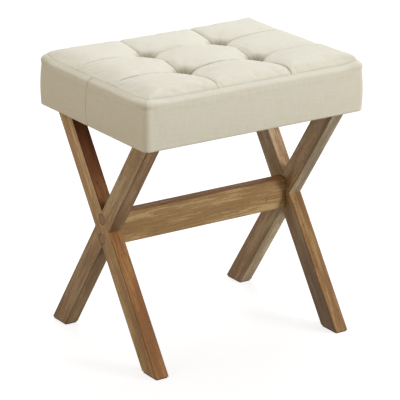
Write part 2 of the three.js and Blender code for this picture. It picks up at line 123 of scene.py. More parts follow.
def linear(code):
    shares = [int(code[i:i + 2], 16) / 255 for i in (1, 3, 5)]
    return [s / 12.92 if s <= 0.04045 else ((s + 0.055) / 1.055) ** 2.4 for s in shares] + [1]


def add(tree, kind, sockets=None, **properties):
    node = tree.nodes.new(kind)
    for name, value in properties.items():
        setattr(node, name, value)
    for name, value in (sockets or {}).items():
        if isinstance(value, bpy.types.Node):
            value = value.outputs[0]
        if isinstance(value, bpy.types.NodeSocket):
            tree.links.new(value, node.inputs[name])
        else:
            node.inputs[name].default_value = value
    return node


def new_material(name):
    material = bpy.data.materials.new(name)
    material.use_nodes = True
    material.node_tree.nodes.clear()
    return material, material.node_tree


print("ivory in linear light:", [round(value, 3) for value in linear("#E8E4D6")])

# %% [markdown]
# ## The studio
#
# The stool stands on a white sweep, a sheet of paper that curves up behind it. A modelled sweep
# works, but a flat floor and a white sky meet without a line when both look pure white to the
# camera. So the floor glows a little for the camera and for mirror-like reflections, and is
# plain pale paper for all other light. That way the soft shadow stays and the stool isn't lit
# from below more than by real paper.

# %% Floor and sky
FLOOR_SIZE = 30
FLOOR_PAPER = "#8C8068"
SHADOW_SHARE = 0.42
FLOOR_GLOW = 0.76
SKY_STRENGTH = 0.45
WHITE = "#FFFFFF"


def seen_directly(tree):
    """One for the camera, mirror-like reflections and clear glass, else zero."""
    path = add(tree, "ShaderNodeLightPath")
    seen = path.outputs["Is Camera Ray"]
    for ray in ("Is Glossy Ray", "Is Transmission Ray"):
        sockets = {0: seen, 1: path.outputs[ray]}
        seen = add(tree, "ShaderNodeMath", sockets, operation="MAXIMUM")
    return seen


paper, tree = new_material("white_paper")
shaded = add(tree, "ShaderNodeBsdfDiffuse", {"Color": [SHADOW_SHARE] * 3 + [1]})
glow = add(tree, "ShaderNodeEmission", {"Color": linear(WHITE), "Strength": FLOOR_GLOW})
white = add(tree, "ShaderNodeAddShader", {0: shaded, 1: glow})
plain = add(tree, "ShaderNodeBsdfDiffuse", {"Color": linear(FLOOR_PAPER)})
look = add(tree, "ShaderNodeMixShader", {0: seen_directly(tree), 1: plain, 2: white})
add(tree, "ShaderNodeOutputMaterial", {"Surface": look})

bpy.ops.mesh.primitive_plane_add(size=FLOOR_SIZE)
floor = bpy.context.object
floor.name = "floor"
floor.data.materials.append(paper)
floor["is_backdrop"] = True

sky = bpy.data.worlds.new("sky")
scene.world = sky
sky.use_nodes = True
tree = sky.node_tree
tree.nodes.clear()
plain = add(tree, "ShaderNodeBackground", {"Color": linear(WHITE), "Strength": SKY_STRENGTH})
white = add(tree, "ShaderNodeBackground", {"Color": linear(WHITE), "Strength": 1})
look = add(tree, "ShaderNodeMixShader", {0: seen_directly(tree), 1: plain, 2: white})
add(tree, "ShaderNodeOutputWorld", {"Surface": look})
print("sky strength", SKY_STRENGTH)

# %% [markdown]
# ## The lamps
#
# One big softbox hangs over the stool, a little behind it, so the seat is the brightest face and
# the walls of its tufts that face the camera stay in shade. A second one stands in front, well to
# the right, so it lights the front and the narrow sides of the legs but never the left side. That
# one gets a warm, weak fill of its own, like the light that a pale room throws back.

# %% Hang the lamps


def softbox(name, place, size, watts, colour):
    lamp = bpy.data.lights.new(name, "AREA")
    lamp.shape = "DISK"
    lamp.size = size
    lamp.energy = watts
    lamp.color = linear(colour)[:3]
    thing = bpy.data.objects.new(name, lamp)
    scene.collection.objects.link(thing)
    thing.location = place
    thing.rotation_euler = (LOOK_AT - Vector(place)).to_track_quat("-Z", "Y").to_euler()


softbox("top_softbox", (0.9, 1.2, 2.8), 2.0, 41, "#F8F8FA")
softbox("right_softbox", (3.1, -3.9, 1.35), 2.0, 136, "#FAF7F3")
softbox("left_fill", (-2.0, -0.1, 0.9), 1.4, 7, "#FFE2B8")

scene.view_settings.view_transform = "Standard"

# %% [markdown]
# ## The cushion's sizes
#
# The seat cover is a box cushion. Nine panels are sewn together for the top, a strip called the
# boxing is sewn round it, and four tufts pull the crossings of the sewn lines down through the
# foam. The boxing is sewn on a little way in from the edge, so it rolls over the edge as a
# rounded lip. All outer sizes come from the frame's own cushion solid, and only the sewing
# details are measured here.

# %% Read the cushion's outer box
solid_low, solid_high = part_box("cushion_cover")
SIDE_BULGE = 1 * MM
HALF_LENGTH = solid_high.x - SIDE_BULGE
HALF_DEPTH = solid_high.y - SIDE_BULGE
SEAT_BOTTOM = solid_low.z
BOXING_HEIGHT = 83.2 * MM
SEAM_HEIGHT = SEAT_BOTTOM + BOXING_HEIGHT
SEAM_INSET = 9 * MM
SEAM_RADIUS = 5 * MM
SIDE_RADIUS = 11 * MM
UNDER_RADIUS = 3 * MM
HEM_WIDTH = 20 * MM
CLOTH = 1.6 * MM
TUFT_X = HALF_LENGTH / 3
TUFT_Y = HALF_DEPTH / 3
STRIP_JOIN = 4 * MM
print("seat", round(2 * HALF_LENGTH / MM), "by", round(2 * HALF_DEPTH / MM), "mm, seam at",
      round(SEAM_HEIGHT / MM, 1))

# %% [markdown]
# ## A mesh that is fine where the sewing is
#
# A cushion could be sculpted, but sewn lines and tufts sit at exact places, so the top is a
# grid instead. Its lines crowd together at the sewn lines, at the tufts and at the edge, where
# the fabric bends sharply, and spread out over the open panels. A second, even grid of the same
# form is what the cloth is simulated on.

# %% Grid lines of the top
FIRST_STEP = 0.5 * MM
STEP_GROWTH = 0.12 * MM
WIDEST_STEP = 4 * MM
CLOTH_STEP = 5 * MM
EDGE_LINES, TUFT_LINES, JOIN_LINES = 10, 15, 6


def fine_offsets(count):
    return [n * FIRST_STEP + n * (n - 1) / 2 * STEP_GROWTH for n in range(count)]


def crowded_lines(half, gathered):
    """Lines over a width, crowded at both ends and at each gathered place, which has a count."""
    stops = {half - step for step in fine_offsets(EDGE_LINES)} | {0}
    for place, count in gathered:
        stops |= {place + side * step for side in (-1, 1) for step in fine_offsets(count)}
    stops |= {-stop for stop in stops}
    lines = [min(stops)]
    for stop in sorted(stops)[1:]:
        gap = stop - lines[-1]
        if gap > FIRST_STEP / 2:
            count = math.ceil(gap / WIDEST_STEP)
            lines += [lines[-1] + gap * (n + 1) / count for n in range(count)]
    return np.array(lines)


def even_lines(half, tuft):
    """Evenly spaced lines, with one on each row of tufts."""
    stops = [-half, -tuft, tuft, half]
    runs = [np.linspace(start, end, round((end - start) / CLOTH_STEP), endpoint=False)
            for start, end in zip(stops, stops[1:])]
    return np.append(np.concatenate(runs), half)


half_x, half_y = HALF_LENGTH - SEAM_INSET, HALF_DEPTH - SEAM_INSET
fine_lines = (crowded_lines(half_x, [(TUFT_X, TUFT_LINES)]),
              crowded_lines(half_y, [(TUFT_Y, TUFT_LINES), (STRIP_JOIN, JOIN_LINES)]))
cloth_lines = even_lines(half_x, TUFT_X), even_lines(half_y, TUFT_Y)
for kind, lines in (("fine", fine_lines), ("cloth", cloth_lines)):
    print(kind, "grid:", len(lines[0]), "by", len(lines[1]))

# %% [markdown]
# ## The form of the top
#
# The fabric rolls up from the seam, and the padding lifts it further to a soft crown. The sewn
# lines hold it back a little, more so towards the tufts, and the tufts draw it down in funnels.
# The panels aren't quite alike, and at each corner the padding lifts the seam a little, by an
# amount of its own. Each of these is a short formula in real millimetres.

# %% Height of the top
CROWN = 11 * MM
CROWN_RUN = 7 * MM
LEFT_RUN, RIGHT_RUN = 15 * MM, 5 * MM
ROLL_RISE, ROLL_RUN = 1.5 * MM, 1.4 * MM
PANEL_LIFT = np.array([[0.5, 2, 2], [0.5, 2, 1], [3.5, 1.5, 1.5]]) * MM
LONG_LINE = 0.8 * MM, 5.2 * MM, 36 * MM
SHORT_LINE = 1.8 * MM, 7.6 * MM, 42 * MM
LINE_REACH = 7 * MM
LINE_POWER = 1.2
BOWL_DEPTH = 7 * MM
BOWL_REACH = 42 * MM
BOWL_POWER = 1.4
TUFT_DEPTH = 16 * MM
TUFT_REACH = 13 * MM
FRONT_LIFTS = 1 * MM, 3.2 * MM
BACK_LIFTS = 3.8 * MM, 3 * MM
CORNER_REACH = 22 * MM
NEARLY_ZERO = 1e-3


def bump(distance, reach, power=2.0):
    return np.exp(-(np.abs(distance) / reach) ** power)


def panel_of(place, tuft):
    return np.where(place < -tuft, 0, np.where(place > tuft, 2, 1))


def line_pull(tuft_gap, line_gap, depth, valley, reach):
    """How far a sewn line holds the top down, which is more beside a tuft."""
    return (depth + valley * bump(tuft_gap, reach)) * bump(line_gap, LINE_REACH, LINE_POWER)


def corner_lift(x, y):
    """How far the puffy corners raise the seam and what is beside it."""
    lift = np.where(y < 0, np.where(x < 0, *FRONT_LIFTS), np.where(x < 0, *BACK_LIFTS))
    return lift * bump(np.hypot(half_x - np.abs(x), half_y - np.abs(y)), CORNER_REACH)


def top_height(x, y):
    """Height of the top above its seam, before the fine sewing marks."""
    runs_x = (half_x - np.abs(x)) / np.where(x < 0, LEFT_RUN, RIGHT_RUN)
    runs_y = (half_y - np.abs(y)) / CROWN_RUN
    nearest = sum(np.maximum(runs, NEARLY_ZERO) ** -4 for runs in (runs_x, runs_y)) ** -0.25
    edge = 1 - np.exp(-np.where(np.minimum(runs_x, runs_y) > NEARLY_ZERO, nearest, 0))
    roll = ROLL_RISE * (1 - np.exp(-np.minimum(half_x - np.abs(x), half_y - np.abs(y)) / ROLL_RUN))
    across_x, across_y = np.abs(x) - TUFT_X, np.abs(y) - TUFT_Y
    tuft_gap = np.hypot(across_x, across_y)
    held = np.maximum(line_pull(tuft_gap, across_x, *SHORT_LINE),
                      line_pull(tuft_gap, across_y, *LONG_LINE))
    bowl = BOWL_DEPTH * bump(tuft_gap, BOWL_REACH, BOWL_POWER)
    line_gap = np.minimum(np.abs(across_x), np.abs(across_y))
    lift = PANEL_LIFT[panel_of(x, TUFT_X), panel_of(y, TUFT_Y)]
    lift = lift * (1 - bump(line_gap, 2 * LINE_REACH) / 3)
    hole = TUFT_DEPTH * bump(tuft_gap, TUFT_REACH)
    return (CROWN + lift - held - bowl) * edge + roll - hole + corner_lift(x, y)


print("crown over a panel in mm:", round(float(top_height(0.13, 0.11)) / MM, 1))

# %% [markdown]
# ## The form of the sides
#
# Below the seam the cover is described by its section: the lip that rolls over the edge, the
# boxing, the fold at the bottom and the hem that is turned under the board. Each row of the
# section is one ring round the seat, given by how far it is in from the side, its height, and
# how round its corners are there.

# %% Rows of the section
LIP_POINTS = [(9, -1), (8.7, -0.4), (8.3, 0), (7.7, 0), (6.6, -0.7), (5.2, -1.8), (3.8, -2.9),
              (2.6, -3.9), (1.6, -5), (0.8, -6.4), (0.35, -8), (0.35, -9.6), (0.35, -11.2),
              (0.15, -14), (0.3, -19)]
LIP_STEPS = 3
BOXING_ROWS = 18
FOLD_ROWS = 5
HEM_SHARES = (0.35, 0.7, 1)
CORNER_POWER = 1.6
LIFT_RUN = 12 * MM


def smooth_through(points, steps):
    """Points on a Catmull-Rom curve through the given ones."""
    ends = np.array([points[0], *points, points[-1]], float)
    curve = [ends[1]]
    for before, start, end, after in zip(ends, ends[1:], ends[2:], ends[3:]):
        for t in np.arange(1, steps + 1) / steps:
            bend = (2 * before - 5 * start + 4 * end - after) * t * t
            twist = (3 * start - before - 3 * end + after) * t ** 3
            curve.append((2 * start + (end - before) * t + bend + twist) / 2)
    return curve


def section():
    """Rows of inset, height and corner radius, from the seam down to the edge of the hem."""
    rows = []
    for inset, rise in smooth_through(LIP_POINTS, LIP_STEPS):
        share = max(inset / LIP_POINTS[0][0], 0) ** CORNER_POWER
        radius = SIDE_RADIUS + (SEAM_RADIUS - SIDE_RADIUS) * share
        rows.append((inset * MM, SEAM_HEIGHT + rise * MM, radius))
    top, bottom = rows[-1][1], SEAT_BOTTOM + UNDER_RADIUS
    for share in np.linspace(0, 1, BOXING_ROWS)[1:]:
        swell = math.sin(math.pi * share) * SIDE_BULGE
        leaning = LIP_POINTS[-1][0] * MM * (1 - share) ** 2
        rows.append((leaning - swell, top + (bottom - top) * share, SIDE_RADIUS))
    side = rows[-1][0]
    for turn in np.linspace(0, math.pi / 2, FOLD_ROWS + 1)[1:]:
        inset = UNDER_RADIUS * (1 - math.cos(turn))
        rows.append((side + inset, bottom - UNDER_RADIUS * math.sin(turn), SIDE_RADIUS - inset))
    for share in HEM_SHARES:
        rows.append((UNDER_RADIUS + share * (HEM_WIDTH - UNDER_RADIUS), SEAT_BOTTOM, SIDE_RADIUS))
    return np.array(rows)


fine_rows = section()
steps_down = np.hypot(np.diff(fine_rows[:, 0]), np.diff(fine_rows[:, 1]))
fine_down = np.concatenate([[0], np.cumsum(steps_down)])
print("rings in the section:", len(fine_rows), "over", round(fine_down[-1] / MM), "mm of cloth")

# %% [markdown]
# ## Rounding the corners
#
# The grid has square corners, but the seam turns them on an arc. A square maps onto a quarter
# disc with one well known formula, which slides the grid's corner points inwards and leaves its
# sides where they are. The rings reuse the border's points: on an arc by their angle, and along
# a side by their share of its straight length.

# %% Points of the top and of the rings


def rounded_grid(x, y, radius):
    a = np.clip((np.abs(x) - (half_x - radius)) / radius, 0, 1)
    b = np.clip((np.abs(y) - (half_y - radius)) / radius, 0, 1)
    corner = (a > 0) & (b > 0)
    round_x = np.sign(x) * (half_x - radius + radius * a * np.sqrt(1 - b * b / 2))
    round_y = np.sign(y) * (half_y - radius + radius * b * np.sqrt(1 - a * a / 2))
    return np.where(corner, round_x, x), np.where(corner, round_y, y)


def border_of(nx, ny):
    order = [(i, 0) for i in range(nx - 1)] + [(nx - 1, j) for j in range(ny - 1)]
    order += [(i, ny - 1) for i in range(nx - 1, 0, -1)] + [(0, j) for j in range(ny - 1, 0, -1)]
    return np.array(order).T


def walk_of(x_lines, y_lines):
    """How far round the seam each border point lies, from the front left corner."""
    length, depth = np.ptp(x_lines), np.ptp(y_lines)
    there, up = x_lines[:-1] - x_lines[0], y_lines[:-1] - y_lines[0]
    again, down = x_lines[-1] - x_lines[:0:-1], y_lines[-1] - y_lines[:0:-1]
    return np.concatenate([there, length + up, length + depth + again, 2 * length + depth + down])


def ring(seam_x, seam_y, inset, radius):
    """Carries the seam's points out to another inset and corner radius; also which way is out."""
    flat_x, flat_y = half_x - SEAM_RADIUS, half_y - SEAM_RADIUS
    beyond_x = np.clip(np.abs(seam_x) - flat_x, 0, None)
    beyond_y = np.clip(np.abs(seam_y) - flat_y, 0, None)
    reach = np.maximum(np.hypot(beyond_x, beyond_y), FIRST_STEP / 2)
    out_x, out_y = np.sign(seam_x) * beyond_x / reach, np.sign(seam_y) * beyond_y / reach
    core_x, core_y = HALF_LENGTH - inset - radius, HALF_DEPTH - inset - radius
    x = np.clip(seam_x / flat_x, -1, 1) * core_x + radius * out_x
    y = np.clip(seam_y / flat_y, -1, 1) * core_y + radius * out_y
    return x, y, out_x, out_y


perimeter = 4 * (half_x + half_y)
print("seam length in mm:", round(perimeter / MM))

# %% [markdown]
# ## The whole form, on any grid
#
# One function gives the cover's points on the fine grid as well as on the even one. With each
# ring it also gives the way out of the cushion, along which the sewing marks are pressed in.

# %% Points of the cover


def cover_form(lines, rows):
    """Points of the top grid, points of the rings, and the outward direction at each of those."""
    grid_x, grid_y = np.meshgrid(*lines, indexing="ij")
    x, y = rounded_grid(grid_x, grid_y, SEAM_RADIUS)
    top = np.stack([x, y, rows[0][1] + top_height(grid_x, grid_y)], -1)
    seam = tuple(border_of(*grid_x.shape))
    slope = np.gradient(rows[:, :2], axis=0)
    slope = slope / np.linalg.norm(slope, axis=1, keepdims=True)
    rings, outward = [], []
    for (inset, height, radius), (inwards, upwards) in zip(rows, slope):
        ring_x, ring_y, out_x, out_y = ring(x[seam], y[seam], inset, radius)
        lift = corner_lift(grid_x[seam], grid_y[seam]) * bump(rows[0][1] - height, LIFT_RUN)
        rings.append(np.stack([ring_x, ring_y, height + lift], -1))
        outward.append(np.stack([-upwards * out_x, -upwards * out_y, np.full_like(out_x, -inwards)], -1))
    return top, np.array(rings), np.array(outward)


top, rings, outward = cover_form(fine_lines, fine_rows)
print("points on top:", top[..., 0].size, "on the sides:", rings[..., 0].size)

# %% [markdown]
# ## Joining points into a skin
#
# The first ring is the seam, whose points the top grid already has, so the skin is one sheet
# from the middle of the seat to the edge of the hem. Each face also keeps where it lay on the
# flat cloth, which lets the weave follow the threads round the corners and down the boxing.

# %% Faces and flat cloth places


def skin(top, rings):
    nx, ny = top.shape[:2]
    index = np.arange(nx * ny).reshape(nx, ny)
    cells = np.stack([index[:-1, :-1], index[1:, :-1], index[1:, 1:], index[:-1, 1:]], -1)
    lower = nx * ny + np.arange(rings[1:, :, 0].size).reshape(len(rings) - 1, -1)
    levels = np.concatenate([[index[tuple(border_of(nx, ny))]], lower])
    onward = np.roll(levels, -1, axis=1)
    bands = np.stack([levels[1:], onward[1:], onward[:-1], levels[:-1]], -1)
    points = np.concatenate([top.reshape(-1, 3), rings[1:].reshape(-1, 3)])
    return points, np.concatenate([cells.reshape(-1, 4), bands.reshape(-1, 4)])


def flat_places(lines, down):
    panel = np.stack(np.meshgrid(*lines, indexing="ij"), -1)
    cells = np.stack([panel[:-1, :-1], panel[1:, :-1], panel[1:, 1:], panel[:-1, 1:]], -2)
    strip = np.stack(np.meshgrid(np.append(walk_of(*lines), perimeter), -down), -1)
    bands = np.stack([strip[1:, :-1], strip[1:, 1:], strip[:-1, 1:], strip[:-1, :-1]], -2)
    return np.concatenate([cells.reshape(-1, 2), bands.reshape(-1, 2)])


def mesh_object(name, points, faces):
    mesh = bpy.data.meshes.new(name)
    mesh.from_pydata(points.tolist(), [], faces.tolist())
    mesh.shade_smooth()
    thing = bpy.data.objects.new(name, mesh)
    scene.collection.objects.link(thing)
    return thing


def apply_modifiers(thing):
    bpy.context.view_layer.objects.active = thing
    for modifier in list(thing.modifiers):
        bpy.ops.object.modifier_apply(modifier=modifier.name)


print("faces of the fine skin:", len(skin(top, rings)[1]))

# %% [markdown]
# ## Letting the cloth settle
#
# A formula is too even. Real padding pushes the cloth out between the places where thread holds
# it, and spare cloth gathers in small folds. So the even grid is simulated as cloth under
# pressure, held at the seam, the hem, the sewn lines and the tufts, with a little more cloth than
# the form needs. How far each point moved, up to a cap, is then carried to the fine grid on
# smooth curves. The boxing is stretched tighter than the top, so it only gets a share of its move.

# %% Simulate the cover
PRESSURE = 3.0
SPARE_CLOTH = -0.008
CLOTH_FRAMES = 20
MOVE_CAP = 2.5 * MM
HELD_CORNER = 24 * MM
BOXING_SHARE = 0.35


def even_rows():
    """Every row of the fine section that is about one cloth step from the last."""
    picks, last = [0], 0.0
    for n, place in enumerate(fine_down):
        if place - last >= CLOTH_STEP * 0.85:
            picks.append(n)
            last = place
    return picks if picks[-1] == len(fine_down) - 1 else picks + [len(fine_down) - 1]


def held_points(lines, rows, ring_count):
    """One for each point that thread or staples hold, else zero."""
    grid_x, grid_y = np.meshgrid(*lines, indexing="ij")
    line_gap = np.minimum(np.abs(np.abs(grid_x) - TUFT_X), np.abs(np.abs(grid_y) - TUFT_Y))
    edge_gap = np.minimum(half_x - np.abs(grid_x), half_y - np.abs(grid_y))
    sewn = (line_gap < CLOTH_STEP / 4) | (edge_gap < CLOTH_STEP / 4)
    hem = np.repeat(rows[1:, 1] < SEAT_BOTTOM + 2 * UNDER_RADIUS, ring_count)
    return np.concatenate([sewn.ravel(), hem])


def settle(points, faces, held):
    thing = mesh_object("cloth_to_settle", points, faces)
    group = thing.vertex_groups.new(name="held")
    group.add(np.flatnonzero(held).tolist(), 1.0, "REPLACE")
    cloth = thing.modifiers.new("cloth", "CLOTH").settings
    cloth.vertex_group_mass = group.name
    cloth.quality = 6
    cloth.use_pressure = True
    cloth.uniform_pressure_force = PRESSURE
    cloth.shrink_min = SPARE_CLOTH
    cloth.tension_stiffness = cloth.compression_stiffness = 20
    cloth.shear_stiffness = 8
    cloth.bending_stiffness = 0.4
    cloth.effector_weights.gravity = 0
    thing.modifiers["cloth"].point_cache.frame_end = CLOTH_FRAMES
    for number in range(1, CLOTH_FRAMES + 1):
        scene.frame_set(number)
    puffed = thing.evaluated_get(bpy.context.evaluated_depsgraph_get()).data
    moved = np.empty(3 * len(puffed.vertices))
    puffed.vertices.foreach_get("co", moved)
    scene.frame_set(1)
    bpy.data.objects.remove(thing)
    move = moved.reshape(-1, 3) - points
    length = np.linalg.norm(move, axis=1, keepdims=True)
    return move * (MOVE_CAP * np.tanh(length / MOVE_CAP) / np.maximum(length, 1e-9))


def carried(values, known, wanted, axis):
    """Values on the known lines carried to the wanted ones, along one axis, on smooth curves."""
    place = np.interp(wanted, known, np.arange(len(known)))
    start = np.clip(place.astype(int), 0, len(known) - 2)
    t = place - start
    weights = ((-t + 2 * t * t - t ** 3) / 2, (2 - 5 * t * t + 3 * t ** 3) / 2,
               (t + 4 * t * t - 3 * t ** 3) / 2, (t ** 3 - t * t) / 2)
    shape = [-1 if n == axis else 1 for n in range(values.ndim)]
    picks = [np.clip(start + step, 0, len(known) - 1) for step in (-1, 0, 1, 2)]
    return sum(values.take(pick, axis) * weight.reshape(shape) for pick, weight in zip(picks, weights))


picks = even_rows()
even_top, even_rings, _ = cover_form(cloth_lines, fine_rows[picks])
held = held_points(cloth_lines, fine_rows[picks], even_rings.shape[1])
move = settle(*skin(even_top, even_rings), held)
split = even_top[..., 0].size
top_move = move[:split].reshape(even_top.shape)
seam_move = top_move[tuple(border_of(*even_top.shape[:2]))]
ring_move = np.concatenate([[seam_move], move[split:].reshape(-1, *seam_move.shape)])
for axis in (0, 1):
    top_move = carried(top_move, cloth_lines[axis], fine_lines[axis], axis)
ring_move = carried(ring_move, fine_down[picks], fine_down, 0)
even_walk = walk_of(*cloth_lines)
ring_move = np.concatenate([ring_move[:, -2:], ring_move, ring_move[:, :2]], axis=1)
even_walk = np.concatenate([even_walk[-2:] - perimeter, even_walk, even_walk[:2] + perimeter])
ring_move = carried(ring_move, even_walk, walk_of(*fine_lines), 1)
corner_gap = np.hypot(*[half - np.abs(rings[0, :, n]) for n, half in enumerate((half_x, half_y))])
ring_move = BOXING_SHARE * ring_move * (1 - bump(corner_gap, HELD_CORNER))[None, :, None]
top, rings = top + top_move, rings + ring_move
print("cloth moved by up to", round(float(np.abs(move).max()) / MM, 1), "mm, crown by",
      round(float(np.median(top_move[..., 2])) / MM, 2), "mm")

# %% [markdown]
# ## Sewing marks on the top
#
# A seam pulls its thread tight, so the cloth dips into a fine groove along it and puckers
# beside it, at every few stitches. Cloth drawn into a tuft has more width than the point can
# take, so fine pleats run down into it. The long lines' grooves fade near the seat's ends, where
# the cloth is slacker. These marks are what tells sewn cloth from moulded plastic.

# %% Grooves, puckers and pleats
GROOVE_DEPTH = 1.1 * MM
PIT_SHADE_REACH = 18 * MM
GROOVE_WIDTH = 0.9 * MM
PLEATS = 14
PLEAT_DEPTH, PLEAT_PLACE, PLEAT_RUN = 1 * MM, 11 * MM, 8 * MM
PUCKER = 0.28 * MM
PUCKER_PITCH = 7.5 * MM
PUCKER_REACH = 6 * MM
CREASE_DEPTH = 3.2 * MM
CREASE_START, CREASE_END = 10 * MM, 44 * MM
BUTTON_REACH = 6.5 * MM
BUTTON_GAP = 0.4 * MM
SLACK_SHARE = 0.8
SLACK_REACH = 15 * MM


def pucker(gap, along, phase):
    """Small uneven waves along a sewn line, which fade away from it."""
    wander = np.sin(along / (31 * MM) + phase) + 0.6 * np.sin(along / (13 * MM) + 2 * phase)
    turn = 2 * math.pi * along / PUCKER_PITCH + 2 * wander
    return PUCKER * np.exp(-np.abs(gap) / PUCKER_REACH) * np.sin(turn)


def pleats(x, y):
    """Fine folds that run down into each tuft."""
    across_x, across_y = np.abs(x) - TUFT_X, np.abs(y) - TUFT_Y
    gap, turn = np.hypot(across_x, across_y), np.arctan2(across_y, across_x)
    wander = 0.5 * np.sin(3 * turn + x / (25 * MM)) + 0.4 * np.sin(5 * turn + y / (34 * MM))
    return -PLEAT_DEPTH * bump(gap - PLEAT_PLACE, PLEAT_RUN) * np.cos(PLEATS * turn + wander)


def sewn_top(x, y):
    """Height change at the sewn lines and the border, and how close the stitches are, which sets the
    painted shade in the seam grooves.
    """
    change, sewn = pleats(x, y), np.zeros_like(x)
    from_x, from_y = half_x - np.abs(x), half_y - np.abs(y)
    ends = 1 - SLACK_SHARE * bump(from_x, SLACK_REACH, 4)
    for side in (-1, 1):
        lines = (x - side * TUFT_X, y, side, 1), (y - side * TUFT_Y, x, side + 5, ends)
        for gap, along, phase, tight in lines:
            change += pucker(gap, along, phase) - tight * GROOVE_DEPTH * bump(gap, GROOVE_WIDTH)
            sewn = np.maximum(sewn, tight * bump(gap, GROOVE_WIDTH))
    gap, along = np.minimum(from_x, from_y), np.where(from_x < from_y, y, x)
    change += pucker(gap, along, 3)
    tuft_gap = np.hypot(np.abs(x) - TUFT_X, np.abs(y) - TUFT_Y)
    return change * (1 - bump(tuft_gap, BUTTON_REACH, 4)), np.maximum(sewn, bump(gap, GROOVE_WIDTH) / 2)


def front_crease(x, y):
    """A deeper fold where the puffy front right panels press together."""
    from_front = y + half_y
    middle, reach = (CREASE_START + CREASE_END) / 2, (CREASE_END - CREASE_START) / 2
    return -CREASE_DEPTH * bump(x - TUFT_X, GROOVE_WIDTH) * bump(from_front - middle, reach, 4)


grid_x, grid_y = np.meshgrid(*fine_lines, indexing="ij")
change, top_seam_shade = sewn_top(grid_x, grid_y)
top[..., 2] += change + front_crease(grid_x, grid_y)
# Near each tuft the cloth's colour is darkened, as painted shade in the pit.
gathered = bump(np.hypot(np.abs(grid_x) - TUFT_X, np.abs(grid_y) - TUFT_Y), PIT_SHADE_REACH, 4)
button_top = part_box("tuft_tie_1")[1].z
top[..., 2] = np.maximum(top[..., 2], button_top + BUTTON_GAP + CLOTH)
print("deepest mark in mm:", round(float(change.min()) / MM, 2))

# %% [markdown]
# ## Sewing marks on the sides
#
# The boxing is cut as two strips, which are joined in the middle of both short sides. The join
# isn't quite upright, because the strip was pulled along as it was sewn on. At each corner the
# cloth under the lip tucks in a little, and at the bottom it folds round the board.

# %% Marks of the boxing
JOIN_SLANT = 7.5 * MM
JOIN_RUN = 12 * MM
JOIN_RETURN = 4 * MM
JOIN_RETURN_RUN = 8 * MM
JOIN_REACH = 40 * MM
CORNER_PUFF = 1.2 * MM
PUFF_PLACE = 6 * MM
PUFF_WIDTH = 6 * MM
TUCK_DEPTH = 1 * MM
TUCK_PLACE = 19 * MM
TUCK_WIDTH = 3 * MM
TUCK_REACH = 16 * MM
FOLD_RIDGE = 0.5 * MM
FOLD_RIDGE_WIDTH = 1.8 * MM

walk = walk_of(*fine_lines)
seam_x, seam_y = grid_x[tuple(border_of(*grid_x.shape))], grid_y[tuple(border_of(*grid_x.shape))]
down = fine_down[:, None]
short_side = (np.abs(seam_x) > half_x - FIRST_STEP / 2)
turned = -np.sign(seam_x)
join_gap = np.where(short_side, seam_y - turned * STRIP_JOIN, 1)

boxing_end = fine_down[-1] - HEM_WIDTH
slant = JOIN_SLANT * (1 - np.exp(-down / JOIN_RUN))
slant -= JOIN_RETURN * np.exp(-np.clip(boxing_end - down, 0, None) / JOIN_RETURN_RUN)
rings[..., 1] += turned * slant * bump(join_gap, JOIN_REACH)

corner_gap = np.hypot(half_x - np.abs(seam_x), half_y - np.abs(seam_y))
tuck = TUCK_DEPTH * bump(down - TUCK_PLACE, TUCK_WIDTH) * bump(corner_gap, TUCK_REACH)
puff = CORNER_PUFF * bump(down - PUFF_PLACE, PUFF_WIDTH) * bump(corner_gap, CORNER_REACH)
ridge = FOLD_RIDGE * bump(down - boxing_end + FOLD_RIDGE_WIDTH, FOLD_RIDGE_WIDTH)
groove = GROOVE_DEPTH * bump(join_gap, GROOVE_WIDTH * 0.8) * (1 - bump(down, GROOVE_WIDTH))
waves = pucker(down, walk[None], 1) * (1 - bump(down, GROOVE_WIDTH))
rings += outward * (waves + ridge + puff - tuck - groove)[..., None]
rings[0] = top[tuple(border_of(*grid_x.shape))]
# How close each ring point is to the seam and the joins, which sets the painted shade in their grooves.
ring_seam_shade = np.maximum(bump(down, GROOVE_WIDTH) / 2 + 0 * join_gap, bump(join_gap, GROOVE_WIDTH * 0.8))
print("boxing from seam to fold in mm:", round(boxing_end / MM, 1))

# %% [markdown]
# ## The finished cover
#
# A Solidify modifier gives the skin the thickness of the cloth, and it is applied so that the
# mesh is a closed body, which hangs together when someone cuts or prints it.

# %% Build the cover
points, faces = skin(top, rings)
cover = mesh_object("seat_cover", points, faces)
places = cover.data.uv_layers.new(name="cloth")
places.data.foreach_set("uv", flat_places(fine_lines, fine_down).ravel())
# This attribute holds painted shade along the seams and joins.
sewn = cover.data.attributes.new("sewn", "FLOAT", "POINT")
sewn.data.foreach_set("value", np.concatenate([top_seam_shade.ravel(), ring_seam_shade[1:].ravel()]))
# This attribute holds painted shade in the tuft pits.
deep = cover.data.attributes.new("gathered", "FLOAT", "POINT")
deep.data.foreach_set("value", np.concatenate([gathered.ravel(), np.zeros(ring_seam_shade[1:].size)]))
thickness = cover.modifiers.new("cloth", "SOLIDIFY")
thickness.thickness = CLOTH
thickness.offset = -1
apply_modifiers(cover)
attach(cover, "root")
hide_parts("cushion_cover")
print("cover:", len(cover.data.polygons), "faces")

# %% [markdown]
# ## The foam under the cover
#
# The foam block is cut to the board and takes the cover's form from inside. It is made here from
# the same formulas on the coarse grid, drawn in by the cloth's thickness and a small gap, and
# closed below. A hole is cut through it for each tie, wide at the top for the tie's button. The
# Boolean modifier cuts the holes exactly, and it is applied too.

# %% Build the foam
FOAM_GAP = 0.5 * MM
TIE_HOLE = 4 * MM
BUTTON_HOLE = 12 * MM
foam_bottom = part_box("foam_pad")[0].z


def rod(x, y, low, high, width):
    bpy.ops.mesh.primitive_cylinder_add(vertices=16, radius=width / 2, depth=high - low,
                                        location=(x, y, (low + high) / 2))
    return bpy.context.object


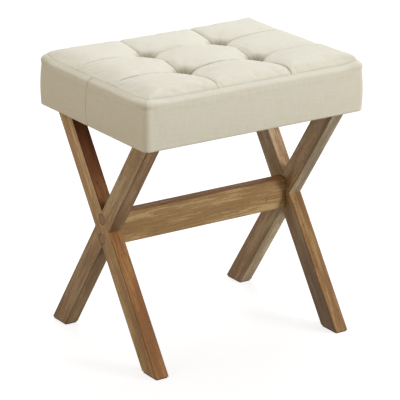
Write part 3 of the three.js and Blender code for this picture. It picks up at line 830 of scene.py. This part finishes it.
even_top, even_rings, _ = cover_form(cloth_lines, fine_rows)
even_seam = even_top[tuple(border_of(*even_top.shape[:2]))]
above = fine_rows[:, 1] > foam_bottom + UNDER_RADIUS
level = np.flatnonzero(above & (np.arange(len(fine_rows)) % 3 == 0))
walls = np.concatenate([[even_seam], even_rings[level[1:]], even_rings[level[-1:]]])
walls[-1, :, 2] = foam_bottom
points, faces = skin(even_top, walls)
foam = mesh_object("seat_foam", points, faces)
normals = np.empty(len(points) * 3)
foam.data.vertex_normals.foreach_get("vector", normals)
points = points - (CLOTH + FOAM_GAP) * normals.reshape(-1, 3)
points[:, 2] = np.maximum(points[:, 2], foam_bottom)
foam.data.vertices.foreach_set("co", points.ravel())
foam.data.update()
bm = bmesh.new()
bm.from_mesh(foam.data)
bmesh.ops.holes_fill(bm, edges=bm.edges[:])
bm.to_mesh(foam.data)
bm.free()
for number, (x, y) in enumerate([(x, y) for x in (-TUFT_X, TUFT_X) for y in (-TUFT_Y, TUFT_Y)]):
    for low, high, width in ((foam_bottom - MM, button_top, TIE_HOLE),
                             (button_top - 3 * MM, SEAM_HEIGHT + CROWN, BUTTON_HOLE)):
        cutter = rod(x, y, low, high, width)
        hole = foam.modifiers.new("hole", "BOOLEAN")
        hole.object = cutter
        apply_modifiers(foam)
        bpy.data.objects.remove(cutter)
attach(foam, "root")
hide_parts("foam_pad")
print("foam:", len(foam.data.polygons), "faces")

# %% [markdown]
# ## Staples
#
# Staples hold the dust cloth, and the cover's hem under it, on the board. They are shot in about
# every 30 mm, a few millimetres in from the cloth's edge, and never quite straight. One staple is
# a flat wire bent to a crown with two legs, of which only the crown shows.

# %% Shoot the staples
STAPLE_CROWN = 10 * MM
STAPLE_WIRE = 1.2 * MM
STAPLE_LEG = 6 * MM
STAPLE_PITCH = 30 * MM
STAPLE_INSET = 5 * MM
rng = np.random.default_rng(11)
cloth_low, cloth_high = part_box("dust_cover")


def staple_body():
    """Corners of one staple with its crown along X, and its faces."""
    wide, thin = STAPLE_CROWN / 2, STAPLE_WIRE
    outline = [(-wide, STAPLE_LEG), (-wide, -thin / 2), (wide, -thin / 2), (wide, STAPLE_LEG),
               (wide - thin, STAPLE_LEG), (wide - thin, 0), (thin - wide, 0), (thin - wide, STAPLE_LEG)]
    corners = [(x, side * thin / 2, z) for side in (-1, 1) for x, z in outline]
    around = [(k, (k + 1) % 8, 8 + (k + 1) % 8, 8 + k) for k in range(8)]
    caps = [(0, 1, 6, 7), (1, 2, 5, 6), (2, 3, 4, 5)]
    far_caps = [tuple(8 + k for k in cap[::-1]) for cap in caps]
    return np.array(corners), [face[::-1] for face in around] + caps + far_caps


def staple_places():
    """Middle and turn of each staple, round the cloth's edge."""
    half = (cloth_high - cloth_low) / 2
    places = []
    for reach, edge, turn in ((half.x, half.y, 0), (half.y, half.x, math.pi / 2)):
        count = round(2 * (reach - STAPLE_INSET) / STAPLE_PITCH)
        for side in (-1, 1):
            for along in (np.arange(count) + 0.5) / count * 2 - 1:
                place = along * (reach - STAPLE_INSET) + rng.normal(0, MM), side * (edge - STAPLE_INSET)
                places.append((place if turn == 0 else place[::-1], turn + rng.normal(0, 0.12)))
    return places


corners, body = staple_body()
points, faces = [], []
for (x, y), turn in staple_places():
    spun = np.array(Matrix.Rotation(turn, 3, "Z")) @ corners.T
    faces += [[len(points) + k for k in face] for face in body]
    points += (spun.T + [x, y, cloth_low.z]).tolist()
staples = mesh_object("staples", np.array(points), np.array(faces))
staples.data.shade_flat()
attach(staples, "root")
print("staples:", len(points) // 16)

# %% [markdown]
# ## Linen weave
#
# The cover is a polyester cloth woven to look like linen. Its threads are a little uneven, so
# lighter and darker threads show as short streaks both ways. The weave is a product of two
# sines, one for each set of threads, which gives the over and under of a plain weave. The cloth
# gathered in a tuft has folds too fine to model, and their shade is mixed into its colour.
# Every finish ends alike, in a relief and a shader, so a function writes that end.

# %% Finish of the cover
THREAD = 0.62
# The threads are too fine to show from this far, and a real streak is one thread wide. These
# are nearly three, so that they show in the picture.
STREAK_LENGTH, STREAK_WIDTH = 34, 1.7
LINEN = "#EBE9DA"
LINEN_DARK = "#E6E2D2"
# Painted shade for the seam grooves.
STITCH_SHADE = "#8E8468"
# Painted shade for the tuft pits.
GATHER_SHADE = "#A8A088"


def end_finish(tree, tone, roughness, relief, strength, depth, more=None):
    """The end of a finish: its relief pressed into the shader, and the shader put out."""
    bumped = add(tree, "ShaderNodeBump", {"Height": relief, "Strength": strength, "Distance": depth})
    sockets = {"Base Color": tone, "Roughness": roughness, "Normal": bumped, **(more or {})}
    shader = add(tree, "ShaderNodeBsdfPrincipled", sockets)
    add(tree, "ShaderNodeOutputMaterial", {"Surface": shader})


fabric, tree = new_material("linen_weave")
place = add(tree, "ShaderNodeUVMap", uv_map="cloth")
place = add(tree, "ShaderNodeVectorMath", {0: place, "Scale": 1 / MM}, operation="SCALE")
split = add(tree, "ShaderNodeSeparateXYZ", {0: place}).outputs
threads = []
for axis in ("X", "Y"):
    angle = add(tree, "ShaderNodeMath", {0: split[axis], 1: math.pi / THREAD}, operation="MULTIPLY")
    threads.append(add(tree, "ShaderNodeMath", {0: angle}, operation="SINE"))
over = add(tree, "ShaderNodeMath", {0: threads[0], 1: threads[1]}, operation="MULTIPLY")
raised = add(tree, "ShaderNodeMath", {0: over}, operation="ABSOLUTE")

streaks = []
for length, width in ((STREAK_LENGTH, STREAK_WIDTH), (STREAK_WIDTH, STREAK_LENGTH)):
    along = add(tree, "ShaderNodeVectorMath", {0: place, 1: (1 / length, 1 / width, 1)},
                operation="MULTIPLY")
    streaks.append(add(tree, "ShaderNodeTexNoise", {"Vector": along, "Scale": 1.0, "Detail": 3.0},
                       noise_dimensions="2D"))
uneven = add(tree, "ShaderNodeMath", {0: streaks[0], 1: streaks[1]}, operation="ADD")
uneven = add(tree, "ShaderNodeMapRange", {"Value": uneven, "From Min": 0.75, "From Max": 1.25})
tone = add(tree, "ShaderNodeMix", {"Factor": uneven, "A": linear(LINEN_DARK), "B": linear(LINEN)},
           data_type="RGBA").outputs["Result"]
# Both marks darken the cloth as painted shade, in the seam grooves and in the tuft pits.
for mark, strength, shade in (("sewn", 0.5, STITCH_SHADE), ("gathered", 0.8, GATHER_SHADE)):
    marked = add(tree, "ShaderNodeAttribute", attribute_name=mark).outputs["Fac"]
    marked = add(tree, "ShaderNodeMath", {0: marked, 1: strength}, operation="MULTIPLY")
    tone = add(tree, "ShaderNodeMix", {"Factor": marked, "A": tone, "B": linear(shade)},
               data_type="RGBA").outputs["Result"]
relief = add(tree, "ShaderNodeMath", {0: uneven, 1: 0.6, 2: raised}, operation="MULTIPLY_ADD")
end_finish(tree, tone, 0.85, relief, 0.35, 0.12 * MM,
           {"Sheen Weight": 0.2, "Sheen Roughness": 0.5, "Specular IOR Level": 0.3})
cover.data.materials.append(fabric)
print("weave nodes:", len(tree.nodes))

# %% [markdown]
# ## Stained wood
#
# Rubberwood has a plain grain with short dark pores that run along the board. Each board gets
# its own finish, because its grain follows its own length. The pattern's place is measured along
# the board, across it and through it, in millimetres, so the same recipe fits every board. Three
# noises make it: wide clouds of tone, fibres and pores. Real fibres and pores are finer than half
# a millimetre, so they are drawn 1 to 1.5 mm wide here, which is as coarse as they need to show.
# The edges of a board are drawn darker, but not in the flush joint of a lap.

# %% Recipe for a board
WOOD_DARK = "#9C7C60"
WOOD_MID = "#C8A480"
WOOD_LIGHT = "#E8CCA8"
PORE = "#745C4C"
EDGE = "#886854"
FILLER = "#7A5F48"
LAP_STAIN = "#D4CCB6"
# Length and width of each noise in millimetres, and its detail
CLOUDS, FIBRES, PORES = (130, 16, 2.0), (45, 1.5, 3.0), (10, 1, 1.0)
# Where each change of colour starts and ends, in millimetres
EDGE_DARK_STEPS = 2, 0.6
LAP_EDGE_STEPS = 22, 30
LAP_STAIN_STEPS = 18, 70
FILLER_STEPS = 10.4, 9.8
NARROW_STEPS = 1.2, 0.6


def place_in_mm(tree, centre=(0, 0, 0)):
    """Where a point of the piece lies from a centre, in millimetres."""
    place = add(tree, "ShaderNodeTexCoord").outputs["Object"]
    place = add(tree, "ShaderNodeVectorMath", {0: place, 1: centre}, operation="SUBTRACT")
    return add(tree, "ShaderNodeVectorMath", {0: place, "Scale": 1 / MM}, operation="SCALE")


def wood_finish(name, centre, along, thick, halves, stains_and_light, seed, lap=None, plugs=()):
    """Halves are half the length, width and thickness in mm. Stain tints, with painted light and
    shade in them, go on the two wide faces, at the low end and the high end, and on the two narrow
    faces. At the lap, whose place along the board is given in mm, both legs have one colour and
    no darker edges."""
    material, tree = new_material(name)
    place = place_in_mm(tree, centre)
    shares = []
    for axis in (along, thick.cross(along), thick):
        measured = add(tree, "ShaderNodeVectorMath", {0: place, 1: axis}, operation="DOT_PRODUCT")
        shares.append(measured.outputs["Value"])
    board = add(tree, "ShaderNodeCombineXYZ", dict(enumerate(shares)))
    patterns = []
    for length, width, detail in (CLOUDS, FIBRES, PORES):
        moved = add(tree, "ShaderNodeVectorMath",
                    {0: board, 1: (1 / length, 1 / width, 1 / width), 2: (seed, 3 * seed, 7 * seed)},
                    operation="MULTIPLY_ADD")
        patterns.append(add(tree, "ShaderNodeTexNoise", {"Vector": moved, "Scale": 1.0, "Detail": detail,
                                                         "Roughness": 0.55}))
    clouds, fibres, pores = patterns
    mixed = add(tree, "ShaderNodeMath", {0: fibres, 1: 0.8, 2: clouds}, operation="MULTIPLY_ADD")
    ramp = add(tree, "ShaderNodeValToRGB", {0: mixed})
    stops = ramp.color_ramp.elements
    stops[0].position, stops[0].color = 0.4, linear(WOOD_DARK)
    stops[1].position, stops[1].color = 1, linear(WOOD_LIGHT)
    stops.new(0.9).color = linear(WOOD_MID)
    pored = add(tree, "ShaderNodeMapRange", {"Value": pores, "From Min": 0.6, "From Max": 0.72,
                                             "To Max": 0.75})
    tone = add(tree, "ShaderNodeMix", {"Factor": pored, "A": ramp, "B": linear(PORE)},
               data_type="RGBA").outputs["Result"]

    # Darker along the board's edges, except at the lap.
    across, deep = [add(tree, "ShaderNodeMath", {0: share}, operation="ABSOLUTE")
                    for share in shares[1:]]
    total = add(tree, "ShaderNodeMath", {0: across, 1: deep}, operation="ADD")
    corner = halves[1] + halves[2]
    darker_edge = add(tree, "ShaderNodeMapRange", {"Value": total, "From Min": corner - EDGE_DARK_STEPS[0],
                                            "From Max": corner - EDGE_DARK_STEPS[1], "To Max": 0.6})
    if lap is not None:
        from_lap = add(tree, "ShaderNodeMath", {0: shares[0], 1: lap}, operation="SUBTRACT")
        from_lap = add(tree, "ShaderNodeMath", {0: from_lap}, operation="ABSOLUTE")
        free = add(tree, "ShaderNodeMapRange", {"Value": from_lap, "From Min": LAP_EDGE_STEPS[0],
                                                "From Max": LAP_EDGE_STEPS[1]})
        darker_edge = add(tree, "ShaderNodeMath", {0: darker_edge, 1: free}, operation="MULTIPLY")
    tone = add(tree, "ShaderNodeMix", {"Factor": darker_edge, "A": tone, "B": linear(EDGE)},
               data_type="RGBA").outputs["Result"]

    # These tints lighten the legs towards the top and make the narrow faces near the seat darker or
    # lighter, as painted light and shade over the board's own stain.
    upwards, above_lap = [
        add(tree, "ShaderNodeMapRange", {"Value": shares[0], "From Min": start, "From Max": end})
        for start, end in ((-halves[0], halves[0]), (lap or 0, halves[0] / 2))]
    wide, narrow = [add(tree, "ShaderNodeMix", {"Factor": share, "A": linear(low), "B": linear(high)},
                        data_type="RGBA").outputs["Result"]
                    for share, (low, high) in ((upwards, stains_and_light[:2]), (above_lap, stains_and_light[2:]))]
    if lap is not None:
        apart = add(tree, "ShaderNodeMapRange", {"Value": from_lap, "From Min": LAP_STAIN_STEPS[0],
                                                 "From Max": LAP_STAIN_STEPS[1]})
        wide = add(tree, "ShaderNodeMix", {"Factor": apart, "A": linear(LAP_STAIN), "B": wide},
                   data_type="RGBA").outputs["Result"]
    on_narrow = add(tree, "ShaderNodeMapRange", {"Value": across, "From Min": halves[1] - NARROW_STEPS[0],
                                                 "From Max": halves[1] - NARROW_STEPS[1]})
    stain_and_light = add(tree, "ShaderNodeMix", {"Factor": on_narrow, "A": wide, "B": narrow},
                data_type="RGBA").outputs["Result"]
    tone = add(tree, "ShaderNodeMix", {"Factor": 1.0, "A": tone, "B": stain_and_light}, data_type="RGBA",
               blend_type="MULTIPLY").outputs["Result"]

    for plug in plugs:
        flat = add(tree, "ShaderNodeVectorMath", {0: place, 1: (0, 1, 1)}, operation="MULTIPLY")
        spot = Vector((0, plug.y - centre.y, plug.z - centre.z)) / MM
        reach = add(tree, "ShaderNodeVectorMath", {0: flat, 1: spot}, operation="DISTANCE")
        rim = add(tree, "ShaderNodeMapRange", {"Value": reach.outputs["Value"], "To Max": 0.85,
                                               "From Min": FILLER_STEPS[0], "From Max": FILLER_STEPS[1]})
        tone = add(tree, "ShaderNodeMix", {"Factor": rim, "A": tone, "B": linear(FILLER)},
                   data_type="RGBA").outputs["Result"]
    relief = add(tree, "ShaderNodeMath", {0: pored, 1: -1.0, 2: fibres}, operation="MULTIPLY_ADD")
    rough = add(tree, "ShaderNodeMapRange", {"Value": fibres, "To Min": 0.42, "To Max": 0.62})
    end_finish(tree, tone, rough, relief, 0.5, 0.12 * MM, {"Specular IOR Level": 0.2})
    return material


def dress(name, material):
    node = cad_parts[name]
    node.data.materials.clear()
    node.data.materials.append(material)


print("wood colours:", WOOD_DARK, WOOD_MID, WOOD_LIGHT)

# %% [markdown]
# ## One finish for each board
#
# A leg leans, and its grain leans with it. The lean follows from where the foot and the crossing
# are in the frame. The stretcher's grain runs from one crossed frame to the other. The legs were
# stained after gluing, so their colours meet at the lap, and a rim of filler closes the gap round
# each plug.

# %% Dress the boards
# Each board's tints are partly its own stain and partly painted light and shade: the legs' wide faces
# grow lighter towards the top, and the narrow faces near the seat are painted darker or lighter, as the
# seat's shadow or the right lamp falls on them.
STAINS_AND_PAINTED_LIGHT = {
    "left_leg_front_foot": ("#D0C6A4", "#F0ECDC", "#C0A27A", "#8E684E"),
    "left_leg_back_foot": ("#B0A28E", "#DEE6E0", "#A89E86", "#BAB0A4"),
    "right_leg_front_foot": ("#A8A8AC", "#F6FEFE", "#C0B08E", "#FEFEFE"),
    "right_leg_back_foot": ("#CEC8C4", "#FEFEFE", "#E8F8FE", "#D8EEFE"),
    "stretcher": ("#DAD6BC", "#DAD6BC", "#DCB888", "#DCB888"),
}
SIDEWAYS, BACKWARDS = Vector((1, 0, 0)), Vector((0, 1, 0))


def middle(name):
    low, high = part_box(name)
    return (low + high) / 2


crossing_height = (middle("left_plug_upper").z + middle("left_plug_lower").z) / 2
foot_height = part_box("left_leg_front_foot")[0].z
lean = abs(middle("left_foot_pad_front").y) / (crossing_height - foot_height)
for seed, side in enumerate(("left", "right")):
    for foot, way in (("front", 1), ("back", -1)):
        name = f"{side}_leg_{foot}_foot"
        low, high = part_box(name)
        size = (high - low) / MM
        along = Vector((0, way * lean, 1)).normalized()
        halves = size.z / 2 / along.z, (size.y - lean * size.z) / 2 * along.z, size.x / 2
        lap = (crossing_height - middle(name).z) / along.z / MM
        plugs = [middle(f"{side}_plug_{place}") for place in ("upper", "lower")]
        dress(name, wood_finish(f"wood_{name}", middle(name), along, SIDEWAYS, halves, STAINS_AND_PAINTED_LIGHT[name],
                                4.7 + 3.1 * seed + way, lap, plugs))
low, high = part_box("stretcher")
size = (high - low) / MM
dress("stretcher", wood_finish("wood_stretcher", middle("stretcher"), SIDEWAYS, BACKWARDS,
                               (size.x / 2, size.z / 2, size.y / 2), STAINS_AND_PAINTED_LIGHT["stretcher"], 17.3))
print("legs lean by", round(math.degrees(math.atan(lean)), 1), "degrees")

# %% [markdown]
# ## End grain of the plugs
#
# The plugs were cut from a rod, so the crossing shows their end grain: growth rings that curve
# round a point outside the plug, crossed by fine pores. Stain soaks into end grain, which makes
# the plugs a little darker and greyer than the legs.

# %% Dress the plugs
PLUG_LIGHT = "#9C7854"
PLUG_DARK = "#76573C"
RING_PITCH = 2.1
PITH_GAP = 14


def end_grain(name, centre, seed):
    material, tree = new_material(name)
    place = place_in_mm(tree, centre)
    wander = add(tree, "ShaderNodeTexNoise", {"Vector": place, "Scale": 0.12, "Detail": 2.0})
    pith = (0, PITH_GAP * math.cos(seed), PITH_GAP * math.sin(seed))
    reach = add(tree, "ShaderNodeVectorMath", {0: place, 1: pith}, operation="DISTANCE").outputs["Value"]
    turn = add(tree, "ShaderNodeMath", {0: wander, 1: 4.0, 2: reach}, operation="MULTIPLY_ADD")
    turn = add(tree, "ShaderNodeMath", {0: turn, 1: 2 * math.pi / RING_PITCH}, operation="MULTIPLY")
    growth = add(tree, "ShaderNodeMath", {0: turn}, operation="SINE")
    growth = add(tree, "ShaderNodeMapRange", {"Value": growth, "From Min": -1.0, "To Min": 0.15,
                                              "To Max": 0.85})
    tone = add(tree, "ShaderNodeMix", {"Factor": growth, "A": linear(PLUG_DARK), "B": linear(PLUG_LIGHT)},
               data_type="RGBA").outputs["Result"]
    dots = add(tree, "ShaderNodeTexVoronoi", {"Vector": place, "Scale": 1.6}).outputs["Distance"]
    pores = add(tree, "ShaderNodeMapRange", {"Value": dots, "From Min": 0.22, "From Max": 0.12,
                                             "To Max": 0.6})
    tone = add(tree, "ShaderNodeMix", {"Factor": pores, "A": tone, "B": linear(PORE)},
               data_type="RGBA").outputs["Result"]
    end_finish(tree, tone, 0.6, pores, 0.5, -0.1 * MM)
    return material


plugs = [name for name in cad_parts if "_plug_" in name]
for seed, name in enumerate(plugs):
    dress(name, end_grain(f"end_grain_{name}", middle(name), 1.9 * seed))
print("plugs:", plugs)

# %% [markdown]
# ## Plywood of the seat board
#
# The board shows its plies at the edge: thin layers whose grain runs by turns along the board and
# across it, with a dark glue line between. The layers are told apart by height alone, so the
# same finish also gives the face veneer its long grain. As on the legs, the grain is drawn
# coarser than it is, so that it shows.

# %% Dress the seat board
PLIES = 7
PLY_MARGIN = 0.1
GRAIN_LENGTH, GRAIN_WIDTH = 71, 1.43
PLY_LIGHT = "#CDB58A"
PLY_DARK = "#A98A5C"
GLUE = "#5E4930"

low, high = (corner.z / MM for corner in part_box("seat_board"))
plywood, tree = new_material("plywood")
place = place_in_mm(tree)
height = add(tree, "ShaderNodeSeparateXYZ", {0: place}).outputs["Z"]
layer = add(tree, "ShaderNodeMapRange", {"Value": height, "From Min": low - PLY_MARGIN,
                                         "From Max": high + PLY_MARGIN, "To Max": PLIES})
within = add(tree, "ShaderNodeMath", {0: layer}, operation="FRACT")
crossed = add(tree, "ShaderNodeMath", {0: layer, 1: 2.0}, operation="MODULO")
crossed = add(tree, "ShaderNodeMath", {0: crossed, 1: 1.0}, operation="GREATER_THAN")
grains = []
for length, width in ((GRAIN_LENGTH, GRAIN_WIDTH), (GRAIN_WIDTH, GRAIN_LENGTH)):
    moved = add(tree, "ShaderNodeVectorMath", {0: place, 1: (1 / length, 1 / width, 1 / GRAIN_WIDTH)},
                operation="MULTIPLY")
    grains.append(add(tree, "ShaderNodeTexNoise", {"Vector": moved, "Scale": 1.0, "Detail": 4.0}))
grain = add(tree, "ShaderNodeMix", {"Factor": crossed, "A": grains[0], "B": grains[1]})
grain = add(tree, "ShaderNodeMapRange", {"Value": grain, "From Min": 0.3, "From Max": 0.7})
tone = add(tree, "ShaderNodeMix", {"Factor": grain, "A": linear(PLY_DARK), "B": linear(PLY_LIGHT)},
           data_type="RGBA").outputs["Result"]
from_middle = add(tree, "ShaderNodeMath", {0: within, 1: 0.5}, operation="SUBTRACT")
from_middle = add(tree, "ShaderNodeMath", {0: from_middle}, operation="ABSOLUTE")
glue = add(tree, "ShaderNodeMapRange", {"Value": from_middle, "From Min": 0.42, "From Max": 0.48,
                                        "To Max": 0.8})
tone = add(tree, "ShaderNodeMix", {"Factor": glue, "A": tone, "B": linear(GLUE)},
           data_type="RGBA").outputs["Result"]
end_finish(tree, tone, 0.7, grain, 0.4, 0.1 * MM)
dress("seat_board", plywood)
print("plies:", PLIES, "of", round((high - low) / PLIES, 2), "mm")

# %% [markdown]
# ## Small parts
#
# The other pieces are seen from below or not at all, but each has its own material. They share
# one recipe: a broad, cloudy difference in tone with a fine pattern over it, whose size is given
# in millimetres along X, Y and Z. Felt and dust cloth have long fibres, which are drawn thicker
# than they are, so that they show from near by. Zinc has a fine crystalline sparkle, paint a
# slight orange peel, foam has open cells, and twine is twisted.

# %% Recipe for the small parts


def mottled(name, dark, light, size, depth, roughness, pattern="ShaderNodeTexNoise", metallic=0.0):
    material, tree = new_material(name)
    place = place_in_mm(tree)
    clouds = add(tree, "ShaderNodeTexNoise", {"Vector": place, "Scale": 0.08, "Detail": 3.0})
    shrunk = add(tree, "ShaderNodeVectorMath", {0: place, 1: size}, operation="DIVIDE")
    fine = add(tree, pattern, {"Vector": shrunk, "Scale": 1.0})
    mixed = add(tree, "ShaderNodeMath", {0: fine, 1: 0.7, 2: clouds}, operation="MULTIPLY_ADD")
    share = add(tree, "ShaderNodeMapRange", {"Value": mixed, "From Min": 0.55, "From Max": 1.15})
    tone = add(tree, "ShaderNodeMix", {"Factor": share, "A": linear(dark), "B": linear(light)},
               data_type="RGBA").outputs["Result"]
    rough = add(tree, "ShaderNodeMapRange", {"Value": share, "To Min": roughness - 0.08,
                                             "To Max": roughness + 0.08})
    end_finish(tree, tone, rough, fine, 0.6, depth * MM, {"Metallic": metallic})
    return material


felt = mottled("pressed_felt", "#241C16", "#4A3D31", (0.25, 1.6, 0.25), 0.15, 0.9)
black = mottled("black_paint", "#1C1C1E", "#303034", (0.7, 0.7, 0.7), 0.03, 0.42)
zinc = mottled("zinc_plating", "#9C9EA2", "#C6C8CA", (0.35, 0.35, 0.35), 0.01, 0.34,
               "ShaderNodeTexVoronoi", 1.0)
dust = mottled("spun_dust_cloth", "#161513", "#2C2A27", (3.2, 0.35, 1), 0.12, 0.9)
cells = mottled("open_cell_foam", "#D9CB94", "#F0E7C2", (0.9, 0.9, 0.9), 0.4, 0.92,
                "ShaderNodeTexVoronoi")
twist = mottled("twisted_twine", "#B8AF97", "#E6DFCC", (3.5, 3.5, 1.2), 0.25, 0.85,
                "ShaderNodeTexWave")
print("small finishes:", [made.name for made in (felt, black, zinc, dust, cells, twist)])

# %% Dress the small parts
for word, material in (("foot_pad", felt), ("mounting_strap", black), ("seat_bolt", black),
                       ("screw", zinc), ("seat_nut", zinc), ("dust_cover", dust), ("tuft_tie", twist)):
    names = [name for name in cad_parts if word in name]
    for name in names:
        dress(name, material)
    print(word, len(names))
foam.data.materials.append(cells)
staples.data.materials.append(zinc)

# %% Measure and finish
low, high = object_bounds()
print("dressed size in mm:", [round((top - base) / MM, 1) for base, top in zip(low, high)])
